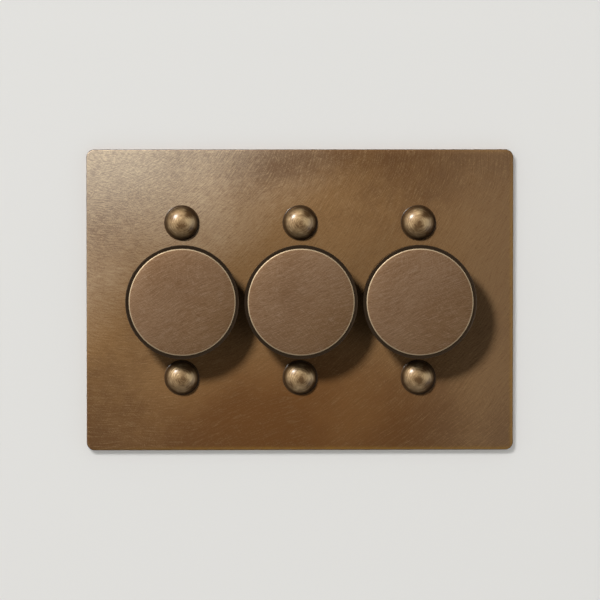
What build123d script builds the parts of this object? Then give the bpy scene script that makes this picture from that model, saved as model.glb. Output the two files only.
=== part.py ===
from build123d import *
import os
from math import atan2, cos, pi, radians, sin

# Rotary push dimmer for a wall box of several gangs, in millimetres.
# X runs to the right along the wall, Y runs into the wall and Z is up.
# The origin is on the wall's surface, y = 0, at the middle of the face plate.
# Each gang has a push-and-turn knob in front and its own dimmer behind.

# Gangs, from left to right as seen from the room
GANGS = ("left", "centre", "right")

# Spacing: with these the gangs are 46 mm apart, the plate screws 60.3 mm and the box screws 83.3 mm
KNOB_D = 44.0  # outside of the grip sleeve
KNOB_GAP = 2.0  # between neighbouring knobs
DOME_D = 13.7  # head of a plate screw
DOME_GAP = 1.3  # between a knob and a plate screw's head
BOX_SCREW_STEP = 11.5  # from a plate screw out to the box screw beyond it

# Clearances
RUNNING_FIT = 0.05  # on the radius, round a spindle, a plunger or a thread
SEAT_FIT = 0.05  # round a piece that is pressed or bonded into its seat
FREE_GAP = 0.25  # between faces that pass each other
SCREW_HOLE_GAP = 0.3  # on the radius, in a clearance hole
PLANE_TOL = 0.001  # within which an edge counts as lying in a plane

# Push and turn
PUSH_TRAVEL = 1.5
TURN_DEG = 270.0

# Face plate, solid metal with a pocket in its back for the straps
PLATE_WEB = 2.2  # metal left in front of the pocket
PLATE_CORNER_R = 3.0
PLATE_EDGE_R = 0.3
PLATE_RIM_SIDE = 13.5  # rim left and right of the pocket
PLATE_RIM_END = 4.35  # rim above and below the pocket
POCKET_MARGIN = 1.5  # round the straps
POCKET_GAP = 0.2  # in front of the straps
POCKET_CORNER_R = 2.0

# Dome-headed plate screws
DOME_H = 3.1
DOME_FOOT = 0.7  # straight side below the dome
DOME_COLLAR_W = 0.45  # narrow collar round the foot
DOME_COLLAR_H = 0.5
SCREW_D = 3.5
SCREW_PROUD = 2.0  # tip behind the strap's collar

# Mounting strap
STRAP_T = 1.6
STRAP_GAP = 2.0  # between neighbouring straps
STRAP_TAB_W = 26.0  # narrower ends that carry the box screws
STRAP_SHOULDER = 5.5  # wide part of the strap beyond the plate screws
STRAP_END = 11.0  # strap beyond the box screws
STRAP_CORNER_R = 2.5
BOX_SLOT_W = 4.0
BOX_SLOT_L = 7.0
COLLAR_WALL = 1.15  # drawn collar round each tapped hole
COLLAR_H = 1.4
SCORE_STEP = 2.6  # between the break-off scores at the strap's sides
SCORE_COUNT = 2
SCORE_W = 0.6
SCORE_DEPTH = 0.5

# Knob: a moulded grip sleeve with a metal cap let into its front
KNOB_H = 15.0  # from the cap's face to the sleeve's back edge
KNOB_PLATE_GAP = 0.7  # left over the plate with the knob pushed in
SLEEVE_LIP = 1.25  # ring of the sleeve that shows round the cap
SLEEVE_WALL = 2.6
SLEEVE_WEB = 2.0
SLEEVE_EDGE_R = 0.45
CAP_T = 2.5
CAP_PROUD = 0.8
CAP_CROWN = 0.25  # rise of the face from its edge to its middle
CAP_EDGE_R = 0.4
KNURL_TEETH = 120
KNURL_DEPTH = 0.45
KNURL_SINK = 0.5  # knurl and back band below the front lip
KNURL_FRONT_BAND = 2.2  # plain lip in front of the knurl
KNURL_BACK_BAND = 1.4
HUB_WALL = 2.5
HUB_GAP = 0.5  # over the bush with the knob pushed in
RIB_COUNT = 6
RIB_T = 1.2
RIB_SHARE = 0.5  # of the hub's length
COLLET_SLOT_W = 1.2
CLIP_T = 0.7
CLIP_W = 3.0
CLIP_OPENING = 3.0

# Spindle
SPINDLE_D = 6.0
SPINDLE_FLAT = 1.2
SPINDLE_BEVEL = 0.4

# Rotary control: case with a threaded bush, wiper rotor and track plate
CONTROL_D = 24.0
CONTROL_DEPTH = 8.0
CONTROL_WALL = 1.4
BUSH_WALL = 1.7
BUSH_PROUD = 0.4  # in front of its nut
NUT_WALL = 1.25  # from the bush's thread to the nut's flats
NUT_T = 2.2
NUT_GAP = 0.6  # from the nut's corners to the plate
TRACK_T = 1.4
STOP_H = 2.0  # stop lug inside the case
STOP_TAB_DEG = 26.0  # width of the rotor's stop tab
STOP_SPARE_DEG = 2.0  # left before the tab meets the lug

# Push switch behind the control
SWITCH_W = 15.0
SWITCH_DEPTH = 10.0
SWITCH_WALL = 1.2
PLUNGER_D = 5.0
FLANGE_RIM = 1.6
FLANGE_T = 1.5
TAIL_D = 2.6
SPRING_WIRE = 0.7
SPRING_TURNS = 3.0

# Circuit board and the parts on it
BOARD_T = 1.6
BOARD_GAP = 0.3
BOARD_CORNER_R = 1.0
CHOKE_D = 16.0
CHOKE_H = 9.5
CHOKE_FLANGE_T = 1.0
CHOKE_WINDING_SINK = 0.8
CAPACITOR_L = 16.0
CAPACITOR_W = 7.5
CAPACITOR_H = 9.0
CAPACITOR_EDGE_R = 0.8
TRIAC_W = 10.2
TRIAC_BODY_L = 9.0
TRIAC_BODY_H = 4.5
TRIAC_TAB_L = 6.4
TRIAC_TAB_T = 1.3
TRIAC_LEAD_W = 0.8
TRIAC_LEAD_PITCH = 2.54
TRIAC_LEAD_REACH = 2.2
PART_GAP = 0.9  # between inner parts and what is beside them

# Rear housing
HOUSING_W = 36.0
HOUSING_SIDE = 4.0  # least strap left free on each side of the housing
HOUSING_END_GAP = 1.4  # between the housing and the plate screws' collars
HOUSING_BACK_ROOM = 3.1  # behind the choke and the capacitor
HOUSING_WALL = 1.8
HOUSING_CORNER_R = 2.0
HOUSING_EDGE_R = 1.4
POST_W = 4.0
EAR_W = 7.0
EAR_T = 2.5
EAR_X = 10.0  # ears each side of the plate screw
RIVET_D = 2.4
RIVET_HEAD_D = 4.4
RIVET_HEAD_T = 0.8

# Wire terminals, in wells on the housing's right side that are open to the back
TERMINAL_SPACING = 18.0
TERMINAL_PLATE_W = 9.0
TERMINAL_PLATE_T = 1.2
TERMINAL_HEAD_D = 6.6
TERMINAL_HEAD_T = 2.2
TERMINAL_SHANK = 3.4  # below the plate
TERMINAL_BOSS_END = 1.0  # plastic beyond the shank's tip
WELL_DEPTH = 3.6
WELL_MARGIN = 1.5  # round the plate
SCREW_SLOT_W = 1.0
SCREW_SLOT_DEPTH = 1.1

# Earth screw on the strap
EARTH_HEAD_D = 6.4
EARTH_HEAD_T = 2.2
EARTH_EDGE = 0.8  # from the screw's head to the strap's side and to the rivet ear

# Places along X and Z, worked out from the sizes above
SPINDLE_R = SPINDLE_D / 2
KNOB_R = KNOB_D / 2
HOUSING_H = CONTROL_D + 2 * (TRIAC_W + 2 * PART_GAP + HOUSING_WALL)
STRAP_LEAST_W = max(
    HOUSING_W + 2 * HOUSING_SIDE,
    2 * EAR_X + EAR_W + 2 * EARTH_HEAD_D + 4 * EARTH_EDGE,
)
GANG_PITCH = max(KNOB_D + KNOB_GAP, STRAP_LEAST_W + STRAP_GAP)
STRAP_W = GANG_PITCH - STRAP_GAP
PLATE_SCREW_Z = max(
    KNOB_R + DOME_GAP + DOME_D / 2,
    HOUSING_H / 2 + HOUSING_END_GAP + COLLAR_WALL + SCREW_D / 2,
)
BOX_SCREW_Z = PLATE_SCREW_Z + BOX_SCREW_STEP
STRAP_H = 2 * (BOX_SCREW_Z + STRAP_END)
STRAP_BLOCK_H = 2 * (PLATE_SCREW_Z + STRAP_SHOULDER)
POCKET_W = (len(GANGS) - 1) * GANG_PITCH + STRAP_W + 2 * POCKET_MARGIN
POCKET_H = STRAP_H + 2 * POCKET_MARGIN
PLATE_W = POCKET_W + 2 * PLATE_RIM_SIDE
PLATE_H = POCKET_H + 2 * PLATE_RIM_END
CAP_D = KNOB_D - 2 * SLEEVE_LIP
HUB_R = SPINDLE_R + SEAT_FIT + HUB_WALL
BUSH_R = SPINDLE_R + RUNNING_FIT + BUSH_WALL
NUT_FLAT_R = BUSH_R + NUT_WALL
NUT_CORNER_R = NUT_FLAT_R / cos(pi / 6)
PLATE_HOLE_R = NUT_CORNER_R + NUT_GAP
CONTROL_BORE_R = CONTROL_D / 2 - CONTROL_WALL
ROTOR_R = CONTROL_BORE_R - STOP_H - FREE_GAP
PLUNGER_R = PLUNGER_D / 2
FLANGE_R = PLUNGER_R + FLANGE_RIM
TRACK_HOLE_R = max(SPINDLE_R, PLUNGER_R) + FREE_GAP
INSIDE_W = HOUSING_W - 2 * HOUSING_WALL
INSIDE_H = HOUSING_H - 2 * HOUSING_WALL
BOARD_W = INSIDE_W - 2 * BOARD_GAP
BOARD_H = INSIDE_H - 2 * BOARD_GAP
RIVET_Z = HOUSING_H / 2 + EAR_W / 2
EARTH_X = EAR_X + EAR_W / 2 + EARTH_EDGE + EARTH_HEAD_D / 2
TERMINAL_SEAT_X = HOUSING_W / 2 - WELL_DEPTH
TERMINAL_TIP_X = TERMINAL_SEAT_X - TERMINAL_SHANK
BOSS_END_X = TERMINAL_TIP_X - TERMINAL_BOSS_END
WELL_H = TERMINAL_PLATE_W + 2 * WELL_MARGIN

# Places along Y, from the wall's surface
STRAP_FRONT = -STRAP_T
POCKET_FLOOR = STRAP_FRONT - POCKET_GAP
PLATE_FRONT = POCKET_FLOOR - PLATE_WEB
BUSH_FRONT = STRAP_FRONT - NUT_T - BUSH_PROUD
KNOB_BACK = min(PLATE_FRONT, BUSH_FRONT) - PUSH_TRAVEL - KNOB_PLATE_GAP
KNOB_FRONT = KNOB_BACK - KNOB_H
SLEEVE_FRONT = KNOB_FRONT + CAP_PROUD
CAP_SEAT = KNOB_FRONT + CAP_T
SLEEVE_WEB_BACK = CAP_SEAT + SLEEVE_WEB
HUB_BACK = BUSH_FRONT - PUSH_TRAVEL - HUB_GAP
RIB_BACK = SLEEVE_WEB_BACK + RIB_SHARE * (HUB_BACK - SLEEVE_WEB_BACK)
SPINDLE_FRONT = SLEEVE_WEB_BACK + FREE_GAP
TRACK_FRONT = CONTROL_DEPTH - TRACK_T
SPINDLE_BACK = CONTROL_DEPTH - PUSH_TRAVEL - FREE_GAP
SWITCH_FRONT = CONTROL_DEPTH
FLANGE_FRONT = SWITCH_FRONT + SWITCH_WALL
FLANGE_BACK = FLANGE_FRONT + FLANGE_T
BOARD_FRONT = SWITCH_FRONT + SWITCH_DEPTH
BOARD_BACK = BOARD_FRONT + BOARD_T
WELL_FRONT = BOARD_BACK + BOARD_GAP + HOUSING_WALL
TERMINAL_Y = WELL_FRONT + WELL_H / 2
HOUSING_DEPTH = max(
    BOARD_BACK + max(CHOKE_H, CAPACITOR_H) + HOUSING_BACK_ROOM + HOUSING_WALL,
    WELL_FRONT + WELL_H,
)
HOUSING_FLOOR = HOUSING_DEPTH - HOUSING_WALL


def slab(outline, front, back):
    """Extrudes an outline drawn in X and Z from y = front to y = back."""
    return extrude(Plane.XZ.offset(-back) * outline, amount=back - front)


def disc(radius, front, back):
    """Round bar about the gang's axis."""
    return slab(Circle(radius), front, back)


def side_slab(outline, inner, outer):
    """Extrudes an outline drawn in Y and Z from x = inner to x = outer."""
    return extrude(Plane.YZ.offset(inner) * outline, amount=outer - inner)


def turned(*points):
    """Turns a profile of (radius, y) points about the gang's axis."""
    return revolve(make_face(Polyline(*points, close=True)), Axis.Y)


def crown_arc(half, rise, crown):
    """Arc in X and Y from the crown of a turned dome out to its edge."""
    ball_r = (half**2 + rise**2) / (2 * rise)
    lean = atan2(half, ball_r - rise) / 2
    on_arc = (ball_r * sin(lean), crown + ball_r * (1 - cos(lean)))
    return ThreePointArc((0, crown), on_arc, (half, crown + rise))


def sector(outer, inner, half_deg, middle_deg):
    """Piece of a ring, in X and Z, about the direction middle_deg."""
    reach = 2 * outer
    corner = (reach * cos(radians(half_deg)), reach * sin(radians(half_deg)))
    wedge = make_face(Polyline((0, 0), corner, (corner[0], -corner[1]), close=True))
    return (Circle(outer) - Circle(inner)) & (Rot(0, 0, middle_deg) * wedge)


def d_section(radius, flat):
    """Round section with a flat on top."""
    return Circle(radius) - Pos(0, radius) * Rectangle(2 * radius, 2 * flat)


def edges_at(shape, y):
    """Edges that lie in the plane at this y."""
    return shape.edges().filter_by_position(Axis.Y, y - PLANE_TOL, y + PLANE_TOL)


def gang_x(index):
    """Middle of a gang."""
    return (index - (len(GANGS) - 1) / 2) * GANG_PITCH


def face_plate():
    """Plate with rounded corners, softened front edges, a pocket behind, and holes for bushes and screws."""
    plate = slab(RectangleRounded(PLATE_W, PLATE_H, PLATE_CORNER_R), PLATE_FRONT, 0)
    plate = fillet(edges_at(plate, PLATE_FRONT), PLATE_EDGE_R)
    plate -= slab(RectangleRounded(POCKET_W, POCKET_H, POCKET_CORNER_R), POCKET_FLOOR, 0)
    for index in range(len(GANGS)):
        plate -= Pos(gang_x(index)) * disc(PLATE_HOLE_R, PLATE_FRONT, POCKET_FLOOR)
        for z in (-PLATE_SCREW_Z, PLATE_SCREW_Z):
            hole = disc(SCREW_D / 2 + SCREW_HOLE_GAP, PLATE_FRONT, POCKET_FLOOR)
            plate -= Pos(gang_x(index), 0, z) * hole
    return plate


def dome_screw():
    """Plain domed head with a straight side on a narrow collar, and its shank."""
    half = DOME_D / 2 - DOME_COLLAR_W
    collar = PLATE_FRONT - DOME_COLLAR_H
    foot = collar - DOME_FOOT
    crown = foot - DOME_H
    tip = COLLAR_H + SCREW_PROUD
    profile = make_face(
        [
            crown_arc(half, DOME_H, crown),
            Polyline(
                (half, foot),
                (half, collar),
                (DOME_D / 2, collar),
                (DOME_D / 2, PLATE_FRONT),
                (SCREW_D / 2, PLATE_FRONT),
                (SCREW_D / 2, tip),
                (0, tip),
                (0, crown),
            ),
        ]
    )
    return revolve(profile, Axis.Y)


def knurl_outline():
    """Star of straight knurl teeth round the sleeve."""
    crest = KNOB_R - KNURL_SINK
    step = pi / KNURL_TEETH
    points = []
    for k in range(2 * KNURL_TEETH):
        radius = crest if k % 2 else crest - KNURL_DEPTH
        points.append((radius * cos(k * step), radius * sin(k * step)))
    return make_face(Polyline(*points, close=True))


def knob_sleeve():
    """Moulded cup: plain front lip, knurled grip, ribs and a split hub for the spindle."""
    knurl_front = SLEEVE_FRONT + KNURL_FRONT_BAND
    knurl_back = KNOB_BACK - KNURL_BACK_BAND
    lip = disc(KNOB_R, SLEEVE_FRONT, knurl_front)
    lip = fillet(edges_at(lip, SLEEVE_FRONT), SLEEVE_EDGE_R)
    sleeve = lip + slab(knurl_outline(), knurl_front, knurl_back)
    sleeve += disc(KNOB_R - KNURL_SINK, knurl_back, KNOB_BACK)
    sleeve -= disc(CAP_D / 2 + SEAT_FIT, SLEEVE_FRONT, CAP_SEAT)
    sleeve -= disc(KNOB_R - SLEEVE_WALL, SLEEVE_WEB_BACK, KNOB_BACK)
    rib = Rectangle(KNOB_D - SLEEVE_WALL, RIB_T)
    for k in range(RIB_COUNT // 2):
        sleeve += slab(Rot(0, 0, 360 * k / RIB_COUNT) * rib, SLEEVE_WEB_BACK, RIB_BACK)
    sleeve += disc(HUB_R, SLEEVE_WEB_BACK, HUB_BACK)
    sleeve -= slab(d_section(SPINDLE_R + SEAT_FIT, SPINDLE_FLAT), SLEEVE_WEB_BACK, HUB_BACK)
    sleeve -= slab(Rectangle(2 * HUB_R, COLLET_SLOT_W), RIB_BACK, HUB_BACK)
    return sleeve


def knob_cap():
    """Turned metal disc with a slightly crowned face and a rounded edge."""
    half = CAP_D / 2
    rim = KNOB_FRONT + CAP_CROWN
    profile = make_face(
        [
            crown_arc(half, CAP_CROWN, KNOB_FRONT),
            Polyline((half, rim), (half, CAP_SEAT), (0, CAP_SEAT), (0, KNOB_FRONT)),
        ]
    )
    cap = revolve(profile, Axis.Y)
    return fillet(edges_at(cap, rim), CAP_EDGE_R)


def hub_clip():
    """Open spring ring that closes the split hub on the spindle."""
    inner = HUB_R + SEAT_FIT
    middle = (RIB_BACK + HUB_BACK) / 2
    ring = Circle(inner + CLIP_T) - Circle(inner)
    ring -= Pos(0, -inner) * Rectangle(CLIP_OPENING, 2 * HUB_WALL)
    return slab(ring, middle - CLIP_W / 2, middle + CLIP_W / 2)


def spindle():
    """Flatted spindle that turns the rotor and pushes the switch."""
    shaft = slab(d_section(SPINDLE_R, SPINDLE_FLAT), SPINDLE_FRONT, SPINDLE_BACK)
    return chamfer(edges_at(shaft, SPINDLE_FRONT), SPINDLE_BEVEL)


def strap_outline():
    """Wide middle with two narrower ends."""
    block = RectangleRounded(STRAP_W, STRAP_BLOCK_H, STRAP_CORNER_R)
    outline = block + RectangleRounded(STRAP_TAB_W, STRAP_H, STRAP_CORNER_R)
    roots = [v for v in outline.vertices() if abs(abs(v.X) - STRAP_TAB_W / 2) < STRAP_CORNER_R / 2]
    roots = [v for v in roots if abs(abs(v.Y) - STRAP_BLOCK_H / 2) < STRAP_CORNER_R / 2]
    return fillet(roots, STRAP_CORNER_R)


def mounting_strap():
    """Metal strap with tapped collars, box-screw slots, break-off scores and a hole for the bush."""
    strap = slab(strap_outline(), STRAP_FRONT, 0)
    strap -= disc(BUSH_R + SEAT_FIT, STRAP_FRONT, 0)
    for z in (-PLATE_SCREW_Z, PLATE_SCREW_Z):
        strap += Pos(0, 0, z) * disc(SCREW_D / 2 + COLLAR_WALL, 0, COLLAR_H)
        strap -= Pos(0, 0, z) * disc(SCREW_D / 2 + RUNNING_FIT, STRAP_FRONT, COLLAR_H)
    for z in (-BOX_SCREW_Z, BOX_SCREW_Z):
        strap -= Pos(0, 0, z) * slab(SlotOverall(BOX_SLOT_L, BOX_SLOT_W), STRAP_FRONT, 0)
    for side in (-1, 1):
        for k in range(SCORE_COUNT):
            x = side * (STRAP_W / 2 - (k + 1) * SCORE_STEP)
            score = Rectangle(SCORE_W, STRAP_BLOCK_H)
            strap -= Pos(x) * slab(score, STRAP_FRONT, STRAP_FRONT + SCORE_DEPTH)
    for place in rivet_places():
        strap -= place * rivet(SEAT_FIT)
    strap -= earth_place() * disc(SCREW_D / 2 + RUNNING_FIT, STRAP_FRONT, 0)
    return strap


def bush_nut():
    """Hexagon nut that clamps the control to the strap."""
    front = STRAP_FRONT - NUT_T
    outline = RegularPolygon(NUT_FLAT_R, 6, major_radius=False) - Circle(BUSH_R + RUNNING_FIT)
    corner = NUT_CORNER_R - NUT_FLAT_R
    blank = chamfer(edges_at(disc(NUT_CORNER_R, front, STRAP_FRONT), front), corner / 2, corner)
    return slab(outline, front, STRAP_FRONT) & blank


def control_case():
    """Round case with a threaded bush in front and a stop lug inside."""
    case = disc(CONTROL_D / 2, 0, CONTROL_DEPTH)
    case -= disc(CONTROL_BORE_R, CONTROL_WALL, CONTROL_DEPTH)
    half = 180 - TURN_DEG / 2 - STOP_TAB_DEG / 2 - STOP_SPARE_DEG
    lug = sector(CONTROL_D / 2, CONTROL_BORE_R - STOP_H, half, -90)
    case += slab(lug, CONTROL_WALL, TRACK_FRONT)
    case += disc(BUSH_R, BUSH_FRONT, 0)
    return case - disc(SPINDLE_R + RUNNING_FIT, BUSH_FRONT, CONTROL_WALL)


def wiper_rotor():
    """Rotor that the spindle slides through, with the stop tab on top."""
    outline = Circle(ROTOR_R) + sector(CONTROL_BORE_R - FREE_GAP, SPINDLE_D, STOP_TAB_DEG / 2, 90)
    outline -= d_section(SPINDLE_R + RUNNING_FIT, SPINDLE_FLAT)
    return slab(outline, CONTROL_WALL + FREE_GAP, min(TRACK_FRONT, SPINDLE_BACK) - FREE_GAP)


def track_plate():
    """Resistance track that closes the back of the control."""
    outline = Circle(CONTROL_BORE_R - SEAT_FIT) - Circle(TRACK_HOLE_R)
    return slab(outline, TRACK_FRONT, CONTROL_DEPTH)


def switch_case():
    """Square case, open at the back where the circuit board closes it."""
    case = slab(Rectangle(SWITCH_W, SWITCH_W), SWITCH_FRONT, BOARD_FRONT)
    case -= disc(FLANGE_R + FREE_GAP, FLANGE_FRONT, BOARD_FRONT)
    return case - disc(PLUNGER_R + RUNNING_FIT, SWITCH_FRONT, FLANGE_FRONT)


def switch_plunger():
    """Plunger with a flange that stops behind the case's front wall, and a tail inside the spring."""
    tail_end = BOARD_FRONT - PUSH_TRAVEL - FREE_GAP
    return turned(
        (0, SPINDLE_BACK),
        (PLUNGER_R, SPINDLE_BACK),
        (PLUNGER_R, FLANGE_FRONT),
        (FLANGE_R, FLANGE_FRONT),
        (FLANGE_R, FLANGE_BACK),
        (TAIL_D / 2, FLANGE_BACK),
        (TAIL_D / 2, tail_end),
        (0, tail_end),
    )


def return_spring():
    """Coil spring between the plunger's flange and the circuit board."""
    coil_r = TAIL_D / 2 + FREE_GAP + SPRING_WIRE / 2
    length = BOARD_FRONT - FLANGE_BACK - SPRING_WIRE - 2 * SEAT_FIT
    path = Helix(length / SPRING_TURNS, length, coil_r, direction=(0, 1, 0))
    coil = sweep(Plane(path @ 0, z_dir=path % 0) * Circle(SPRING_WIRE / 2), path)
    return Pos(0, FLANGE_BACK + SPRING_WIRE / 2 + SEAT_FIT) * coil


def circuit_board():
    """Board that closes the switch and carries the choke and the capacitor."""
    return slab(RectangleRounded(BOARD_W, BOARD_H, BOARD_CORNER_R), BOARD_FRONT, BOARD_BACK)


def triac():
    """Power switch with its metal tab flat on the strap and three bent leads to the board."""
    body = slab(Rectangle(TRIAC_BODY_L, TRIAC_W), 0, TRIAC_BODY_H)
    tab_x = -(TRIAC_BODY_L + TRIAC_TAB_L) / 2
    body += Pos(tab_x) * slab(Rectangle(TRIAC_TAB_L, TRIAC_W), 0, TRIAC_TAB_T)
    middle_y = TRIAC_BODY_H / 2
    end_x = TRIAC_BODY_L / 2
    for k in (-1, 0, 1):
        z = k * TRIAC_LEAD_PITCH
        out = Pos(end_x + TRIAC_LEAD_REACH / 2, 0, z) * slab(
            Rectangle(TRIAC_LEAD_REACH, TRIAC_LEAD_W),
            middle_y - TRIAC_LEAD_W / 2,
            middle_y + TRIAC_LEAD_W / 2,
        )
        down = Pos(end_x + TRIAC_LEAD_REACH - TRIAC_LEAD_W / 2, 0, z) * slab(
            Rectangle(TRIAC_LEAD_W, TRIAC_LEAD_W), middle_y, BOARD_FRONT
        )
        body += out + down
    return Pos(0, 0, CONTROL_D / 2 + PART_GAP + TRIAC_W / 2) * body


def choke():
    """Wound bobbin on the back of the board, towards the top."""
    back = BOARD_BACK + CHOKE_H
    winding_r = CHOKE_D / 2 - CHOKE_WINDING_SINK
    bobbin = turned(
        (0, BOARD_BACK),
        (CHOKE_D / 2, BOARD_BACK),
        (CHOKE_D / 2, BOARD_BACK + CHOKE_FLANGE_T),
        (winding_r, BOARD_BACK + CHOKE_FLANGE_T),
        (winding_r, back - CHOKE_FLANGE_T),
        (CHOKE_D / 2, back - CHOKE_FLANGE_T),
        (CHOKE_D / 2, back),
        (0, back),
    )
    return Pos(board_part_x(CHOKE_D), 0, TERMINAL_SPACING / 2) * bobbin


def capacitor():
    """Boxed film capacitor on the back of the board, towards the bottom."""
    box = slab(Rectangle(CAPACITOR_L, CAPACITOR_W), BOARD_BACK, BOARD_BACK + CAPACITOR_H)
    box = fillet(box.edges().filter_by(Axis.Y), CAPACITOR_EDGE_R)
    return Pos(board_part_x(CAPACITOR_L), 0, -TERMINAL_SPACING / 2) * box


def board_part_x(width):
    """Places a part on the board just clear of the terminals' bosses."""
    return BOSS_END_X - PART_GAP - width / 2


def terminal_places():
    """Heights of the two wire terminals."""
    return (-TERMINAL_SPACING / 2, TERMINAL_SPACING / 2)


def rear_housing():
    """Moulded box with rivet ears, corner posts for the board, and wells and bosses for the terminals."""
    box = slab(RectangleRounded(HOUSING_W, HOUSING_H, HOUSING_CORNER_R), 0, HOUSING_DEPTH)
    box = fillet(edges_at(box, HOUSING_DEPTH), HOUSING_EDGE_R)
    box -= slab(Rectangle(INSIDE_W, INSIDE_H), 0, HOUSING_FLOOR)
    for x in (-1, 1):
        for z in (-1, 1):
            corner = Pos(x * (INSIDE_W - POST_W) / 2, 0, z * (INSIDE_H - POST_W) / 2)
            box += corner * slab(Rectangle(POST_W, POST_W), BOARD_BACK, HOUSING_FLOOR)
    ear = Rectangle(EAR_W, EAR_W + 2 * HOUSING_CORNER_R)
    for place in rivet_places():
        inward = -HOUSING_CORNER_R if place.position.Z > 0 else HOUSING_CORNER_R
        wing = place * Pos(0, 0, inward) * slab(ear, 0, EAR_T)
        box += wing - slab(Rectangle(INSIDE_W, INSIDE_H), 0, EAR_T)
        box -= place * rivet(SEAT_FIT)
    for z in terminal_places():
        box = terminal_well(box, z)
    return box


def terminal_well(box, z):
    """Adds one terminal's well, with its walls inside the housing and a boss for the screw."""
    front = WELL_FRONT - HOUSING_WALL
    back = HOUSING_FLOOR + HOUSING_WALL / 2
    walls = Pos((front + back) / 2, z) * Rectangle(back - front, WELL_H + 2 * HOUSING_WALL)
    box += side_slab(walls, TERMINAL_SEAT_X - HOUSING_WALL, HOUSING_W / 2 - HOUSING_WALL / 2)
    opening = Pos((WELL_FRONT + HOUSING_DEPTH) / 2, z) * Rectangle(HOUSING_DEPTH - WELL_FRONT, WELL_H)
    box -= side_slab(opening, TERMINAL_SEAT_X, HOUSING_W / 2)
    at = Pos(TERMINAL_Y, z)
    box += side_slab(at * Circle(SCREW_D / 2 + HOUSING_WALL), BOSS_END_X, TERMINAL_SEAT_X)
    hole = at * Circle(SCREW_D / 2 + RUNNING_FIT)
    return box - side_slab(hole, TERMINAL_TIP_X - FREE_GAP, TERMINAL_SEAT_X)


def terminal_plate(z):
    """Brass plate that the wire is clamped against."""
    outline = Rectangle(TERMINAL_PLATE_W, TERMINAL_PLATE_W) - Circle(SCREW_D / 2 + RUNNING_FIT)
    return side_slab(Pos(TERMINAL_Y, z) * outline, TERMINAL_SEAT_X, TERMINAL_SEAT_X + TERMINAL_PLATE_T)


def terminal_screw(z):
    """Slotted binding screw."""
    at = Pos(TERMINAL_Y, z)
    seat = TERMINAL_SEAT_X + TERMINAL_PLATE_T
    top = seat + TERMINAL_HEAD_T
    screw = side_slab(at * Circle(SCREW_D / 2), TERMINAL_TIP_X, seat)
    screw += side_slab(at * Circle(TERMINAL_HEAD_D / 2), seat, top)
    slot = at * Rectangle(TERMINAL_HEAD_D, SCREW_SLOT_W)
    return screw - side_slab(slot, top - SCREW_SLOT_DEPTH, top)


def rivet_places():
    """Rivets through the four ears of a housing."""
    return [Pos(x, 0, z) for x in (-EAR_X, EAR_X) for z in (-RIVET_Z, RIVET_Z)]


def rivet(grow=0.0):
    """Rivet with a countersunk head in the strap, or the hole that takes it when grown."""
    shank_r = RIVET_D / 2 + grow
    head_r = RIVET_HEAD_D / 2 + grow
    countersink = min(head_r - shank_r, STRAP_T)
    ear_back = EAR_T
    points = [
        (0, STRAP_FRONT),
        (head_r, STRAP_FRONT),
        (shank_r, STRAP_FRONT + countersink),
        (shank_r, ear_back),
    ]
    if not grow:
        points += [(RIVET_HEAD_D / 2, ear_back), (RIVET_HEAD_D / 2, ear_back + RIVET_HEAD_T)]
        ear_back += RIVET_HEAD_T
    return turned(*points, (0, ear_back))


def earth_place():
    """Earth screw at the strap's lower right corner."""
    return Pos(EARTH_X, 0, -PLATE_SCREW_Z)


def earth_screw():
    """Slotted earth screw with its head behind the strap."""
    screw = disc(SCREW_D / 2, STRAP_FRONT, 0) + disc(EARTH_HEAD_D / 2, 0, EARTH_HEAD_T)
    slot = Rectangle(SCREW_SLOT_W, EARTH_HEAD_D)
    return screw - slab(slot, EARTH_HEAD_T - SCREW_SLOT_DEPTH, EARTH_HEAD_T)


def save(name, shape):
    """Writes one node."""
    export_step(shape, f"parts/{name}.step")


def save_group(name, shapes):
    """Writes like fasteners as one node of separate solids."""
    save(name, Compound(children=list(shapes)))


def at_each_gang(*shapes):
    """Copies of the shapes at every gang."""
    return [Pos(gang_x(k)) * shape for k in range(len(GANGS)) for shape in shapes]


GANG_PIECES = (
    knob_sleeve,
    knob_cap,
    hub_clip,
    spindle,
    mounting_strap,
    control_case,
    wiper_rotor,
    track_plate,
    switch_case,
    switch_plunger,
    return_spring,
    circuit_board,
    triac,
    choke,
    capacitor,
    rear_housing,
)


def main():
    os.makedirs("parts", exist_ok=True)
    save("face_plate", face_plate())
    for make in GANG_PIECES:
        piece = make()
        for index, gang in enumerate(GANGS):
            save(f"{make.__name__}_{gang}", Pos(gang_x(index)) * piece)
    dome = dome_screw()
    domes = [Pos(0, 0, z) * dome for z in (-PLATE_SCREW_Z, PLATE_SCREW_Z)]
    save_group("dome_screws", at_each_gang(*domes))
    save_group("bush_nuts", at_each_gang(bush_nut()))
    save_group("housing_rivets", at_each_gang(*[place * rivet() for place in rivet_places()]))
    save_group("terminal_plates", at_each_gang(*[terminal_plate(z) for z in terminal_places()]))
    save_group("terminal_screws", at_each_gang(*[terminal_screw(z) for z in terminal_places()]))
    save_group("earth_screws", at_each_gang(earth_place() * earth_screw()))


if __name__ == "__main__":
    main()
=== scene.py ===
import math

import bmesh
import bpy
from bpy.props import FloatProperty, FloatVectorProperty, PointerProperty
from mathutils import Matrix, Vector


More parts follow.
